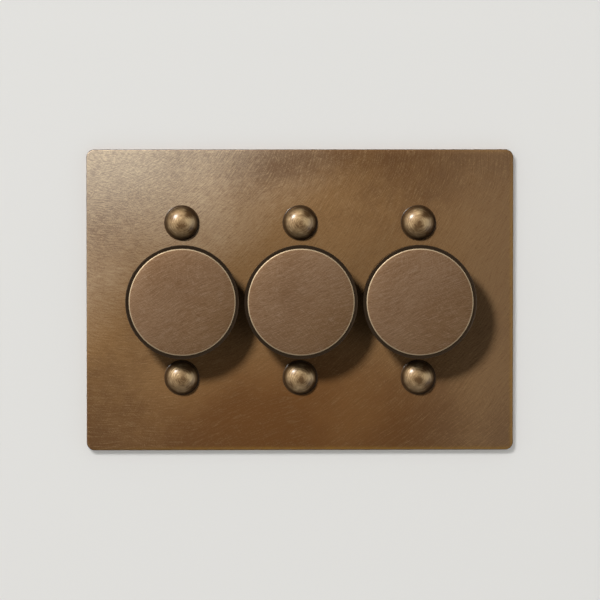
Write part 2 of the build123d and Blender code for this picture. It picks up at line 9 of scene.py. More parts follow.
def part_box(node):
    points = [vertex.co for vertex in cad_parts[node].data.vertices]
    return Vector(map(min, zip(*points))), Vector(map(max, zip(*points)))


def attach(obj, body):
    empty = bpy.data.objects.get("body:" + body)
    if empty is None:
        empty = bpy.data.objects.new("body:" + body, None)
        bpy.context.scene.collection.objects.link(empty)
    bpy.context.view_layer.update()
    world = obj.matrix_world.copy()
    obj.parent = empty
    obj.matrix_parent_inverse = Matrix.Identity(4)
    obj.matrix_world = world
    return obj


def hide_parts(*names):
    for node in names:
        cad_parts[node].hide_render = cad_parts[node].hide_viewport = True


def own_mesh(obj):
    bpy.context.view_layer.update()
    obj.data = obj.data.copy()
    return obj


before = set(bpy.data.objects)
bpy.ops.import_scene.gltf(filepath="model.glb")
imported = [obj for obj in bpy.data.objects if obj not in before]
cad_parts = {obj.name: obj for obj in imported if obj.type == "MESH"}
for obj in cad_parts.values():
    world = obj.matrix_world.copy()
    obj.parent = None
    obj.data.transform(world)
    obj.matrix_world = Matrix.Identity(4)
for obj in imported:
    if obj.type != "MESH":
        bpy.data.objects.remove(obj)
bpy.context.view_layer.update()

bl_info = {
    "name": "Wall Dimmer Switch",
    "version": (1, 0, 0),
    "blender": (4, 5, 0),
    "location": "3D View > Sidebar > Dimmer",
    "description": "Finishes and fine pieces of a rotary wall dimmer on an aged bronze plate",
    "category": "Object",
}

MM = 0.001
GANGS = ("left", "centre", "right")


def gang_x(gang):
    """Middle of a gang, from its knob cap."""
    low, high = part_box(f"knob_cap_{gang}")
    return ((low + high) / 2).x


CAP_LOW, CAP_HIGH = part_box("knob_cap_centre")
PLATE_LOW, PLATE_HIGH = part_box("face_plate")
SPRING_LOW, SPRING_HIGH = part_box("return_spring_centre")
SCREWS_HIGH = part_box("dome_screws")[1]
CAP_R = (CAP_HIGH.x - CAP_LOW.x) / 2
GANG_PITCH = gang_x("right") - gang_x("centre")
DOME_R = SCREWS_HIGH.x - gang_x("right")
DOME_Z = SCREWS_HIGH.z - DOME_R

# How finely the pieces are cut: steps along a profile or a turn of the spring, and facets all round.
CAP_STEPS = 12
CAP_EDGE_STEPS = 6
CAP_FACETS = 192
DOME_STEPS = 32
SCREW_FACETS = 72
COIL_STEPS = 28
WIRE_SIDES = 10

# Points this close in metres become one, and facets this nearly level become one face.
MERGE_GAP = 1e-7
FLAT_DEG = 0.5

# Edges above these angles show as sharp, or are softened.
SHARP_DEG = 35.0
SOFT_EDGE_DEG = 40.0
SOFT_EDGE_STEPS = 2

# Small shapes of the caps and the plate screws.
CAP_CROWN_POWER = 3
EDGE_BREAK = 0.04 * MM
COLLAR_ROUND = 0.14 * MM
SEAT_BREAK = 0.05 * MM
PLAIN_TIP = 0.4 * MM
TIP_TAPER = 0.2 * MM

# Brushed strokes: lean in degrees, then length, width and bend in millimetres, and a seed.
CAP_STROKES = ((24.0, 6.0, 0.38, 8.0, 5.0), (6.0, 6.0, 0.36, 10.0, 13.0))
CROSSING_STROKES = ((52.0, 5.0, 0.34, 14.0, 17.0), (-38.0, 5.0, 0.34, 14.0, 29.0))
HAIRLINES = (
    (14.0, 26.0, 0.34, 20.0, 41.0),
    (33.0, 22.0, 0.34, 20.0, 53.0),
    (-9.0, 24.0, 0.34, 20.0, 67.0),
    (64.0, 16.0, 0.34, 20.0, 79.0),
)

# Rubbed arcs on the plate: the pivot's X and Z, then length, width and bend in millimetres, and a seed.
# Their length is true at the reach given here.
PLATE_ARCS = (((-74.0, 84.0), 8.0, 0.44, 9.0, 3.0), ((-30.0, 130.0), 7.0, 0.40, 11.0, 7.0))
ARC_REACH = 130.0

# Pad swirls: how far their centres stray in cells, how a seed lifts them, and how short their arcs are.
SWIRL_STRAY = 3.0
SWIRL_LIFT = 2.7
SWIRL_BREAKS = 5.0

# Shares in the scratches: the two main sets between them, then these together, each crossing set, the
# pad swirls and the fine grain.
LAY_SHARES = (0.65, 0.35)
LAY_SHARE = 0.44
CROSSING_SHARE = 0.12
SWIRL_SHARE = 0.14
GRAIN_SHARE = 0.18

# Where the hairlines show in their noise, and where hollows and crests lie in the scratches.
HAIRLINE_BAND = (0.62, 0.76)
HOLLOWS = (0.05, 0.5)
CRESTS = (0.5, 0.95)

# Roughness in the hollows and on the crests of the scratches, and their depth.
RUBBED_ROUGHNESS = (0.53, 0.43)
SCRATCH_DEPTH = 0.02 * MM

# Patina on the plate: X, Z and reach in millimetres, and how much barer or darker.
PLATE_PATCHES = (
    (-30.0, 21.0, 40.0, 0.25),
    (-85.0, 32.0, 32.0, -0.26),
    (2.0, 42.0, 24.0, 0.16),
    (18.0, 50.0, 30.0, 0.07),
    (74.0, 50.0, 38.0, 0.18),
    (-48.0, -38.0, 28.0, 0.24),
    (-80.0, -53.0, 32.0, -0.08),
    (-20.0, -52.0, 28.0, -0.30),
    (18.0, -48.0, 24.0, 0.28),
    (32.0, -33.0, 16.0, -0.12),
    (74.0, -50.0, 38.0, 0.16),
)

# Painted reflections and shade on a plate screw's head, from its own middle, with the same columns: a pale
# crescent at the right, a dark middle, and darker upper and lower right.
DOME_PAINTED_LIGHT = (
    (3.2, 0.5, 2.8, 0.22),
    (0.2, -0.8, 3.0, -0.20),
    (3.2, 4.0, 3.2, -0.24),
    (4.6, -3.6, 3.4, -0.22),
)

# The belt across the knobs is handled most, and fades from this height up and down, in millimetres.
HANDLED_Z = 12.0

# A redder band low on the plate: its middle and reach in millimetres, and how it is drawn out sideways.
WARM_BAND = (0.0, -46.0)
WARM_REACH = (8.0, 40.0)
WARM_DRAW = 0.5

# The right end turns dull from this X, in millimetres.
DULL_X = 36.0

# The pale upper-left corner, worn metal that also holds the lamp's painted sheen: its direction from the
# middle, and where it begins and is palest, in millimetres. The edges that face away from it are worn
# between the last two.
SHEEN_CORNER_LEAN = (-0.62, 0.0, 0.78)
SHEEN_CORNER_REACH = (50.0, 112.0)
FAR_EDGES = (-40.0, 20.0)

# Bands in millimetres: worn in from the plate's edges, tarnished behind its front, bright in from the cap's
# edge with wear and a painted highlight, and dark in from the dome's with patina and painted shade.
WORN_EDGE = (0.4, 2.6)
PLATE_SIDE = (0.01, 0.08)
CAP_RIM_GLINT = (0.55, 0.35)
DOME_FOOT_SHADE = (2.0, 0.45)

# Tint of the gloss on the grip sleeves.
GRIP_GLINT = (1.0, 0.66, 0.38, 1.0)

# The wall: half its size, how much smaller than the plate its opening is, and the opening's corners.
WALL_HALF = 4.0
WALL_LAP = 0.6 * MM
WALL_OPENING_R = 3.2 * MM
WALL_CORNER_STEPS = 8

# The dim studio in front of the wall, and its soft cards: direction, outer and inner angle in degrees,
# and brightness.
STUDIO_R = 5.0
STUDIO_GRID = (48, 24)
STUDIO_BACK_Y = -0.1
STUDIO_DIM = 0.035
STUDIO_CARDS = (
    ((-0.62, -0.60, 0.42), 40.0, 8.0, 0.36),
    ((-0.82, -0.56, -0.10), 40.0, 14.0, 0.42),
    ((0.76, -0.62, -0.20), 30.0, 14.0, 1.70),
    ((0.05, -0.62, -0.78), 36.0, 12.0, 0.34),
)

# Where the camera and the lamps stand, seen from the plate, and how wide two of the lamps are: the wall
# lamp against the others, and the back lamp in metres.
CAMERA_AIM = (-0.027, -1.0, 0.050)
WALL_LAMP_AIM = (-0.30, -0.85, 0.42)
METAL_LAMP_AIM = (-0.388, -0.790, 0.475)
DOME_LAMP_AIM = (-0.42, -0.81, 0.41)
BACK_LAMP_AIM = (0.50, 0.70, 0.62)
WALL_LAMP_SPREAD = 1.6
BACK_LAMP_SIZE = 0.5

# The camera's sensor, and how far it sees in metres.
SENSOR_MM = 36.0
CLIP_END = 100.0


# Settings


def length(name, description, default):
    """A size in metres that a user may change."""
    return FloatProperty(name=name, description=description, default=default, unit="LENGTH", precision=5)


def colour(name, description, default):
    """A colour that a user may change."""
    return FloatVectorProperty(
        name=name, description=description, default=default, subtype="COLOR", size=3, min=0.0, max=1.0
    )


def power(name, description, default):
    """A lamp's power."""
    return FloatProperty(name=name, description=description, default=default, min=0.0, unit="POWER")


class DimmerSizes(bpy.types.PropertyGroup):
    """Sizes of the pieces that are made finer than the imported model."""

    cap_radius: length("Cap radius", "Outside of a knob's metal cap", CAP_R)
    cap_bevel: length("Cap edge", "Bright rounded edge of the cap", 0.4 * MM)
    cap_crown: length("Cap crown", "Rise of the cap's slightly crowned face", 0.33 * MM)
    dome_radius: length("Dome radius", "Outside of a plate screw's collar", DOME_R)
    dome_height: length("Dome height", "Rise of a plate screw's head above its collar", 3.8 * MM)
    dome_fullness: FloatProperty(
        name="Dome fullness", description="2 for an oval dome, more for a flatter crown", default=2.3,
        min=2.0, max=4.0,
    )
    collar_width: length("Collar width", "Narrow collar round a plate screw's head", 0.45 * MM)
    collar_height: length("Collar height", "Thickness of the collar", 0.5 * MM)
    screw_radius: length("Screw radius", "Shank of a plate screw", 1.75 * MM)
    thread_pitch: length("Thread pitch", "Pitch of the screw threads", 0.8 * MM)
    thread_depth: length("Thread depth", "Depth of the screw threads", 0.28 * MM)
    spring_wire: length("Spring wire", "Radius of the return spring's wire", 0.35 * MM)
    spring_turns: FloatProperty(
        name="Spring turns", description="Turns of a return spring", default=3.0, min=2.0
    )


class DimmerColours(bpy.types.PropertyGroup):
    """Colours of the finishes."""

    bronze: colour("Bronze", "Main colour of the aged bronze plate", (0.225, 0.125, 0.052))
    patina: colour("Patina", "Darker, redder bronze where the plate is rubbed less", (0.124, 0.062, 0.027))
    bronze_pale: colour("Pale bronze", "Crests of the plate's scratches", (0.34, 0.21, 0.10))
    bronze_dark: colour("Dark bronze", "Hollows of the plate's scratches", (0.10, 0.048, 0.017))
    # Pale worn metal at the upper-left corner, which also holds the lamp's painted sheen there.
    rubbed: colour("Rubbed bronze", "Bare scratches at the most handled corner", (0.79, 0.68, 0.50))
    rubbed_dull_and_sheen: colour("Dull rubbed bronze", "Between the scratches at that corner", (0.43, 0.38, 0.315))
    bronze_warm: colour("Warm bronze", "Redder patina low on the plate", (0.146, 0.058, 0.0155))
    bronze_dull: colour("Dull bronze", "Greyer patina at the right of the plate", (0.205, 0.128, 0.072))
    cap: colour("Cap bronze", "Main colour of the knob caps", (0.205, 0.123, 0.068))
    cap_patina: colour("Cap patina", "Darker places on the knob caps", (0.175, 0.100, 0.052))
    # Painted shade toward the lower right of the knob caps, away from the lamp.
    cap_shade: colour("Warm cap bronze", "Browner patina low on the knob caps", (0.165, 0.090, 0.036))
    cap_pale: colour("Pale cap bronze", "Crests of the caps' scratches", (0.31, 0.205, 0.13))
    cap_dark: colour("Dark cap bronze", "Hollows of the caps' scratches", (0.09, 0.045, 0.02))
    # Worn rim of the caps, also a painted highlight line.
    cap_rim_and_glint: colour("Cap edge", "Bright edge of the knob caps", (0.40, 0.31, 0.20))
    dome: colour("Dome bronze", "Main colour of the domed screw heads", (0.232, 0.152, 0.076))
    # Pale and dark dome bronze carry rubbed rings and patina, and also the painted reflections and shade on
    # the heads.
    dome_pale_and_reflection: colour("Pale dome bronze", "Rubbed rings on the domed heads", (0.390, 0.282, 0.152))
    dome_dark_and_shade: colour("Dark dome bronze", "Patina on the domed heads", (0.100, 0.055, 0.023))
    # Dark patina at the dome's foot, also painted shade on the lower flank of the head.
    dome_foot_shade: colour("Dome foot", "Dark patina round the foot of the domed heads", (0.045, 0.022, 0.008))
    edge: colour("Worn edge", "Metal that shows along the plate's worn edges", (0.31, 0.172, 0.036))
    grip: colour("Grip", "Moulded grip sleeves", (0.0178, 0.0113, 0.0068))
    housing: colour("Housing", "Moulded rear housings", (0.030, 0.030, 0.032))
    zinc: colour("Zinc", "Plated steel straps", (0.58, 0.58, 0.56))
    nickel: colour("Nickel", "Plated nuts and rivets", (0.62, 0.60, 0.55))
    brass: colour("Brass", "Terminal plates and screws", (0.70, 0.50, 0.21))
    earth: colour("Earth green", "Plated earth screws", (0.06, 0.30, 0.10))
    steel: colour("Steel", "Spindles, clips and springs", (0.60, 0.60, 0.60))
    cast: colour("Cast metal", "Control cases", (0.56, 0.56, 0.55))
    cream: colour("Cream", "Wiper rotors and switch cases", (0.62, 0.58, 0.48))
    black: colour("Black", "Switch plungers and triacs", (0.02, 0.02, 0.02))
    brown: colour("Brown", "Track plates", (0.20, 0.10, 0.05))
    board: colour("Board green", "Circuit boards", (0.02, 0.12, 0.05))
    copper: colour("Copper", "Windings of the chokes", (0.38, 0.13, 0.04))
    red: colour("Red", "Capacitors", (0.30, 0.03, 0.02))
    wall: colour("Wall", "Pale painted wall", (0.748, 0.742, 0.722))


class DimmerLight(bpy.types.PropertyGroup):
    """Light and camera."""

    wall_power: power("Wall lamp", "Lamp on the wall", 129.0)
    fill_power: power("Fill lamp", "Lamp beside the camera", 64.0)
    wall_distance: length("Wall lamp distance", "From the plate to the wall lamp and the fill lamp", 5.0)
    metal_power: power("Metal lamp", "Lamp on the metal, and another like it on the screw heads", 91.0)
    metal_distance: length("Metal lamp distance", "From the plate to those lamps", 2.4)
    back_power: power("Back lamp", "Lamp behind the wall", 9.0)
    back_distance: length("Back lamp distance", "From the plate to the back lamp", 1.2)
    lamp_angle: FloatProperty(
        name="Lamp angle", description="Width of the lamps, seen from the plate", default=math.radians(10.0),
        subtype="ANGLE",
    )
    ambient: FloatProperty(
        name="Ambient", description="Light from all round", default=0.40, min=0.0, max=1.0, subtype="FACTOR"
    )
    camera_distance: length("Camera distance", "From the plate to the camera", 2.5)
    view_width: length("View width", "Width of wall in the picture", 0.2335)


class DimmerSettings(bpy.types.PropertyGroup):
    """Everything that a user may change."""

    sizes: PointerProperty(type=DimmerSizes)
    colours: PointerProperty(type=DimmerColours)
    light: PointerProperty(type=DimmerLight)


# Materials


class Finish:
    """One procedural material and the nodes that make it."""

    def __init__(self, name):
        self.material = bpy.data.materials.new(name)
        self.material.use_nodes = True
        self.tree = self.material.node_tree
        self.surface = self.tree.nodes["Principled BSDF"]

    def feed(self, socket, value):
        """Links a socket to another, or sets its value."""
        if isinstance(value, bpy.types.NodeSocket):
            self.tree.links.new(value, socket)
        elif hasattr(value, "__len__") and len(value) == 3 and len(socket.default_value) == 4:
            socket.default_value = (*value, 1.0)
        else:
            socket.default_value = value

    def add(self, kind, inputs=None, **settings):
        """A new node with its settings and inputs."""
        made = self.tree.nodes.new("ShaderNode" + kind)
        for name, value in settings.items():
            setattr(made, name, value)
        for name, value in (inputs or {}).items():
            self.feed(made.inputs[name], value)
        return made

    def set(self, **sockets):
        """Sets the surface's sockets, named with underscores for spaces."""
        for name, value in sockets.items():
            self.feed(self.surface.inputs[name.replace("_", " ").title().replace("Ior", "IOR")], value)

    def show(self, shader):
        """Makes a shader's socket the material's output in place of the plain surface."""
        self.feed(self.tree.nodes["Material Output"].inputs["Surface"], shader)

    def math(self, operation, *values):
        """One or more numbers through a Math node."""
        made = self.add("Math", operation=operation)
        for socket, value in zip(made.inputs, values):
            self.feed(socket, value)
        return made.outputs[0]

    def vector(self, operation, *values):
        """Vectors through a Vector Math node."""
        made = self.add("VectorMath", operation=operation)
        for socket, value in zip(made.inputs, values):
            self.feed(socket, value)
        return made.outputs["Value"] if operation in ("LENGTH", "DOT_PRODUCT") else made.outputs[0]

    def combine(self, x, y, z=0.0):
        """A vector from its parts."""
        return self.add("CombineXYZ", {"X": x, "Y": y, "Z": z}).outputs[0]

    def separate(self, vector):
        """The X, Y and Z of a vector."""
        return tuple(self.add("SeparateXYZ", {0: vector}).outputs)

    def span(self, value, low, high, to_low=0.0, to_high=1.0):
        """Maps a range of numbers to another, with soft ends."""
        inputs = {"Value": value, "From Min": low, "From Max": high, "To Min": to_low, "To Max": to_high}
        return self.add("MapRange", inputs, interpolation_type="SMOOTHSTEP").outputs[0]

    def blend(self, factor, first, second):
        """Mixes two colours."""
        made = self.add("Mix", data_type="RGBA")
        self.feed(made.inputs[0], factor)
        self.feed(made.inputs[6], first)
        self.feed(made.inputs[7], second)
        return made.outputs[2]

    def noise(self, vector, scale=1.0, detail=2.0, roughness=0.5):
        """Cloudy noise about 0.5."""
        inputs = {"Vector": vector, "Scale": scale, "Detail": detail, "Roughness": roughness}
        return self.add("TexNoise", inputs).outputs[0]

    def millimetres(self):
        """Object coordinates in millimetres."""
        place = self.add("TexCoord").outputs["Object"]
        return self.vector("MULTIPLY", place, (1.0 / MM,) * 3)

    def mix(self, *parts):
        """Weighted sum of (value, weight) pairs."""
        total = 0.0
        for value, weight in parts:
            total = self.math("MULTIPLY_ADD", value, weight, total)
        return total

    def away(self, x, z, centre=(0.0, 0.0)):
        """Distance from a centre (X, Z), seen from the front."""
        across = self.math("SUBTRACT", x, centre[0])
        up = self.math("SUBTRACT", z, centre[1])
        return self.vector("LENGTH", self.combine(across, up))

    def turn(self, x, z, centre=(0.0, 0.0)):
        """Turn about a centre (X, Z), seen from the front."""
        return self.math("ARCTAN2", self.math("SUBTRACT", z, centre[1]), self.math("SUBTRACT", x, centre[0]))

    def gang_local(self, x):
        """X from the middle of the nearest gang."""
        half = GANG_PITCH / MM / 2
        return self.math("WRAP", x, half, -half)

    def patches(self, x, z, table):
        """Sum of soft round patches, each with its X, Z, reach and amount."""
        total = 0.0
        for patch_x, patch_z, reach, amount in table:
            away = self.away(x, z, (patch_x, patch_z))
            total = self.math("ADD", self.span(away, 0.0, reach, amount, 0.0), total)
        return total

    def swirls(self, x, z, cell, pitch, seed):
        """Arcs of fine scratches round scattered centres, as a sanding pad leaves them."""
        flat = self.combine(self.math("ADD", x, seed), self.math("ADD", z, SWIRL_LIFT * seed))
        cells = self.add("TexVoronoi", {"Vector": flat, "Scale": 1.0 / cell}, voronoi_dimensions="2D")
        spread = (SWIRL_STRAY * cell,) * 3
        shift = self.vector("SUBTRACT", cells.outputs["Color"], (0.5, 0.5, 0.5))
        off = self.vector("SUBTRACT", flat, cells.outputs["Position"])
        off_x, off_z, _ = self.separate(self.vector("ADD", off, self.vector("MULTIPLY", shift, spread)))
        out = self.math("MULTIPLY", self.away(off_x, off_z), 1.0 / pitch)
        along = self.math("MULTIPLY", self.turn(off_x, off_z), SWIRL_BREAKS)
        return self.noise(self.combine(out, along, seed), detail=2.0, roughness=0.6)

    def strokes(self, place, lean, run, width, bend, seed):
        """Brushed strokes at one lean in degrees, gently bent."""
        cos, sin = math.cos(math.radians(lean)), math.sin(math.radians(lean))
        along = self.vector("DOT_PRODUCT", place, (cos, 0.0, sin))
        across = self.vector("DOT_PRODUCT", place, (-sin, 0.0, cos))
        wander = self.noise(self.vector("ADD", place, (seed, seed, seed)), scale=0.035, detail=1.0)
        bent = self.math("MULTIPLY_ADD", wander, bend, across)
        track = self.combine(self.math("DIVIDE", along, run), self.math("DIVIDE", bent, width), seed)
        return self.noise(track, detail=3.0, roughness=0.65)

    def arcs(self, place, pivot, run, width, bend, seed):
        """Rubbed strokes along arcs about a pivot (X, Z), as a swinging hand leaves them."""
        x, _, z = self.separate(place)
        along = self.math("MULTIPLY", self.turn(x, z, pivot), ARC_REACH / run)
        wander = self.noise(self.vector("ADD", place, (seed, seed, seed)), scale=0.03, detail=1.0)
        bent = self.math("MULTIPLY_ADD", wander, bend, self.away(x, z, pivot))
        track = self.combine(along, self.math("DIVIDE", bent, width), seed)
        return self.noise(track, detail=3.0, roughness=0.6)

    def bump(self, height, strength, distance):
        """Fine relief of a given depth."""
        made = self.add("Bump", {"Strength": strength, "Distance": distance, "Height": height})
        self.feed(self.surface.inputs["Normal"], made.outputs[0])


def scratched(finish, place, sets, spread):
    """Hand-rubbed scratches from 0 to 1: two main sets, crossing sets, pad swirls and a fine grain."""
    x, _, z = finish.separate(place)
    parts = [(finish.mix(*zip(sets, LAY_SHARES)), LAY_SHARE)]
    parts += [(finish.strokes(place, *stroke), CROSSING_SHARE) for stroke in CROSSING_STROKES]
    parts.append((finish.swirls(x, z, cell=17.0, pitch=0.36, seed=11.0), SWIRL_SHARE))
    parts.append((finish.noise(place, scale=3.4, detail=2.0, roughness=0.6), GRAIN_SHARE))
    return finish.span(finish.mix(*parts), 0.5 - spread, 0.5 + spread)


def hairlines(finish, place, share):
    """Sparse long scratches, gently curved, from 0 to a share."""
    total = 0.0
    for stroke in HAIRLINES:
        line = finish.span(finish.strokes(place, *stroke), *HAIRLINE_BAND)
        total = finish.math("MAXIMUM", line, total)
    return finish.math("MULTIPLY", total, share)


def rubbed(finish, scratch, base, dark, pale):
    """Base colour with its scratches: dark in their hollows, pale on their crests."""
    worn = finish.blend(finish.span(scratch, *HOLLOWS, to_low=0.75, to_high=0.0), base, dark)
    return finish.blend(finish.span(scratch, *CRESTS, to_low=0.0, to_high=0.8), worn, pale)


def satin(finish, scratch, edge, rougher):
    """Rubbed metal's gloss and relief, rougher along an edge."""
    sheen = finish.span(scratch, 0.1, 0.9, *RUBBED_ROUGHNESS)
    finish.set(metallic=1.0, roughness=finish.math("MULTIPLY_ADD", edge, rougher, sheen))
    finish.bump(scratch, strength=0.2, distance=SCRATCH_DEPTH)


def bronze_plate(tints):
    """Aged bronze plate: broad patina, rubbed scratches, a pale handled corner and worn edges."""
    finish = Finish("aged_bronze_plate")
    place = finish.millimetres()
    x, y, z = finish.separate(place)
    half = (PLATE_HIGH - PLATE_LOW) / 2 / MM
    sets = [finish.arcs(place, *arc) for arc in PLATE_ARCS]
    scratch = scratched(finish, place, sets, spread=0.165)
    broad = finish.noise(place, scale=0.026, detail=3.0, roughness=0.55)
    mottle = finish.noise(place, scale=0.30, detail=4.0, roughness=0.6)

    # Patina under the scratches.
    patches = finish.patches(x, z, PLATE_PATCHES)
    handled = finish.span(finish.math("ABSOLUTE", z), HANDLED_Z, half.z, to_low=0.16, to_high=-0.16)
    tone = finish.mix((broad, 0.75), (mottle, 0.25), (handled, 1.0), (patches, 1.0))
    base = finish.blend(finish.span(tone, 0.30, 0.70), tints.patina, tints.bronze)
    from_band = finish.away(finish.math("MULTIPLY", x, WARM_DRAW), z, WARM_BAND)
    warmth = finish.span(from_band, *WARM_REACH, to_low=0.70, to_high=0.0)
    base = finish.blend(warmth, base, tints.bronze_warm)
    base = finish.blend(finish.span(x, DULL_X, half.x, to_low=0.0, to_high=0.48), base, tints.bronze_dull)

    # Scratches, fainter in the redder band.
    worn = rubbed(finish, scratch, base, tints.bronze_dark, tints.bronze_pale)
    worn = finish.blend(hairlines(finish, place, share=0.24), worn, tints.bronze_pale)
    worn = finish.blend(finish.math("MULTIPLY", warmth, 0.55), worn, base)

    # Pale worn metal with the lamp's painted sheen at the upper-left corner, and worn metal along the edges
    # away from it.
    diagonal = finish.vector("DOT_PRODUCT", place, SHEEN_CORNER_LEAN)
    # Painted sheen: the corner nearest the lamp is paled where its broad highlight falls, over worn metal.
    corner = finish.mix((broad, 30.0), (patches, 60.0), (scratch, 10.0), (diagonal, 1.0))
    bare_and_sheen = finish.blend(finish.span(scratch, 0.25, 0.75), tints.rubbed_dull_and_sheen, tints.rubbed)
    worn = finish.blend(finish.span(corner, *SHEEN_CORNER_REACH, to_low=0.0, to_high=0.50), worn, bare_and_sheen)
    from_end = finish.math("SUBTRACT", half.x, finish.math("ABSOLUTE", x))
    from_long_edge = finish.math("SUBTRACT", half.z, finish.math("ABSOLUTE", z))
    ragged = finish.mix((mottle, 1.4), (finish.math("MINIMUM", from_end, from_long_edge), 1.0))
    edge = finish.span(ragged, *WORN_EDGE, to_low=1.0, to_high=0.0)
    far_side = finish.span(diagonal, *FAR_EDGES, to_low=0.7, to_high=0.0)
    worn = finish.blend(finish.math("MULTIPLY", edge, far_side), worn, tints.edge)

    # Tarnish on the sides and the back.
    side = finish.span(y, *(PLATE_LOW.y / MM + depth for depth in PLATE_SIDE))
    tarnish = finish.blend(finish.span(mottle, 0.35, 0.7), tints.bronze_dark, tints.patina)
    finish.set(base_color=finish.blend(side, worn, tarnish))
    satin(finish, scratch, side, rougher=0.2)
    return finish.material


def bronze_cap(tints):
    """Knob cap: a greyer bronze, cross-rubbed, with painted shade toward the lower right and a bright worn
    rim that is partly a painted highlight.
    """
    finish = Finish("aged_bronze_cap")
    place = finish.millimetres()
    x, _, z = finish.separate(place)
    across = finish.gang_local(x)
    sets = [finish.strokes(place, *stroke) for stroke in CAP_STROKES]
    scratch = scratched(finish, place, sets, spread=0.12)
    broad = finish.noise(place, scale=0.06, detail=3.0, roughness=0.55)
    base = finish.blend(finish.span(broad, 0.3, 0.7), tints.cap_patina, tints.cap)
    # Painted shade: the cap turns darker and browner toward the lower right, away from the lamp.
    low = finish.mix((across, 0.7), (z, -0.7))
    base = finish.blend(finish.span(low, -4.0, 20.0, to_low=0.0, to_high=0.42), base, tints.cap_shade)
    worn = rubbed(finish, scratch, base, tints.cap_dark, tints.cap_pale)
    worn = finish.blend(hairlines(finish, place, share=0.4), worn, tints.cap_pale)
    # Bright worn rim, which also stands in for the highlight line round the cap: partly a painted highlight.
    edge = finish.span(finish.away(across, z), *(CAP_R / MM - depth for depth in CAP_RIM_GLINT))
    finish.set(base_color=finish.blend(finish.math("MULTIPLY", edge, 0.8), worn, tints.cap_rim_and_glint))
    satin(finish, scratch, edge, rougher=0.1)
    return finish.material


def turned_bronze(tints):
    """Satin turned bronze with fine rings about each screw's own axis, painted reflections and shade on each
    head, and dark round the foot with patina and painted shade.
    """
    finish = Finish("turned_bronze")
    place = finish.millimetres()
    x, _, z = finish.separate(place)
    across = finish.gang_local(x)
    rise = finish.math("SUBTRACT", finish.math("ABSOLUTE", z), DOME_Z / MM)
    out, turn = finish.away(across, rise), finish.turn(across, rise)
    rings = finish.noise(finish.combine(finish.math("MULTIPLY", out, 2.4), turn), detail=2.0, roughness=0.7)
    clouds = finish.noise(place, scale=0.45, detail=4.0, roughness=0.6)
    up = finish.math("MULTIPLY", rise, finish.math("SIGN", z))
    # Painted reflections and shade on each head: a pale crescent at the right, a dark middle, and darker
    # upper and lower right.
    patches = finish.patches(across, up, DOME_PAINTED_LIGHT)
    tone = finish.mix((rings, 0.5), (clouds, 0.5), (patches, 1.0))
    worn = finish.blend(finish.span(tone, 0.32, 0.5), tints.dome_dark_and_shade, tints.dome)
    worn = finish.blend(finish.span(tone, 0.5, 0.68), worn, tints.dome_pale_and_reflection)
    # Dark round the foot: patina in the corner, and painted shade on the lower flank of the head.
    foot = finish.span(out, *(DOME_R / MM - depth for depth in DOME_FOOT_SHADE))
    finish.set(base_color=finish.blend(finish.math("MULTIPLY", foot, 0.9), worn, tints.dome_foot_shade))
    sheen = finish.span(rings, 0.3, 0.7, to_low=0.68, to_high=0.60)
    finish.set(metallic=1.0, roughness=finish.math("MULTIPLY_ADD", foot, 0.12, sheen))
    finish.set(coat_weight=0.42, coat_roughness=0.25)
    track = finish.combine(finish.math("MULTIPLY", out, 9.0), finish.math("MULTIPLY", turn, 0.8))
    finish.bump(finish.noise(track, detail=1.0), strength=0.8, distance=0.05 * MM)
    return finish.material


def moulded(name, tint, roughness, grain, depth, shine=0.5, glint=(1.0, 1.0, 1.0, 1.0)):
    """Moulded plastic with a fine spark-eroded grain."""
    finish = Finish(name)
    place = finish.millimetres()
    speckle = finish.noise(place, scale=grain, detail=3.0, roughness=0.6)
    broad = finish.noise(place, scale=0.08, detail=2.0, roughness=0.5)
    pale = tuple(min(1.0, 1.5 * part) for part in tint)
    finish.set(base_color=finish.blend(finish.span(broad, 0.3, 0.75, to_low=0.0, to_high=0.6), tint, pale))
    finish.set(specular_ior_level=shine, specular_tint=glint)
    finish.set(roughness=finish.span(speckle, 0.3, 0.7, to_low=roughness - 0.08, to_high=roughness + 0.08))
    finish.bump(speckle, strength=0.3, distance=depth)
    return finish.material


def plated(name, tint, roughness, streak=(0.05, 1.0, 1.4)):
    """Plated or bright metal with rolling streaks and faint clouding."""
    finish = Finish(name)
    place = finish.millimetres()
    drawn_out = finish.add("Mapping", {"Vector": place, "Scale": streak}).outputs[0]
    streaks = finish.noise(drawn_out, scale=2.0, detail=3.0, roughness=0.6)
    clouds = finish.noise(place, scale=0.22, detail=3.0, roughness=0.55)
    dull = tuple(0.72 * part for part in tint)
    mixed = finish.mix((streaks, 0.6), (clouds, 0.4))
    finish.set(base_color=finish.blend(finish.span(mixed, 0.32, 0.66), dull, tint), metallic=1.0)
    finish.set(roughness=finish.span(clouds, 0.3, 0.7, to_low=roughness - 0.06, to_high=roughness + 0.08))
    finish.bump(streaks, strength=0.15, distance=0.01 * MM)
    return finish.material


def wall_paint(tint):
    """Matt wall paint that is clear from behind."""
    finish = Finish("wall_paint")
    finish.set(base_color=tint, roughness=0.9, specular_ior_level=0.1)
    grain = finish.noise(finish.millimetres(), scale=0.6, detail=3.0, roughness=0.6)
    finish.bump(grain, strength=0.1, distance=0.05 * MM)
    back = finish.add("NewGeometry").outputs["Backfacing"]
    clear = finish.add("BsdfTransparent").outputs[0]
    finish.show(finish.add("MixShader", {0: back, 1: finish.surface.outputs[0], 2: clear}).outputs[0])
    return finish.material


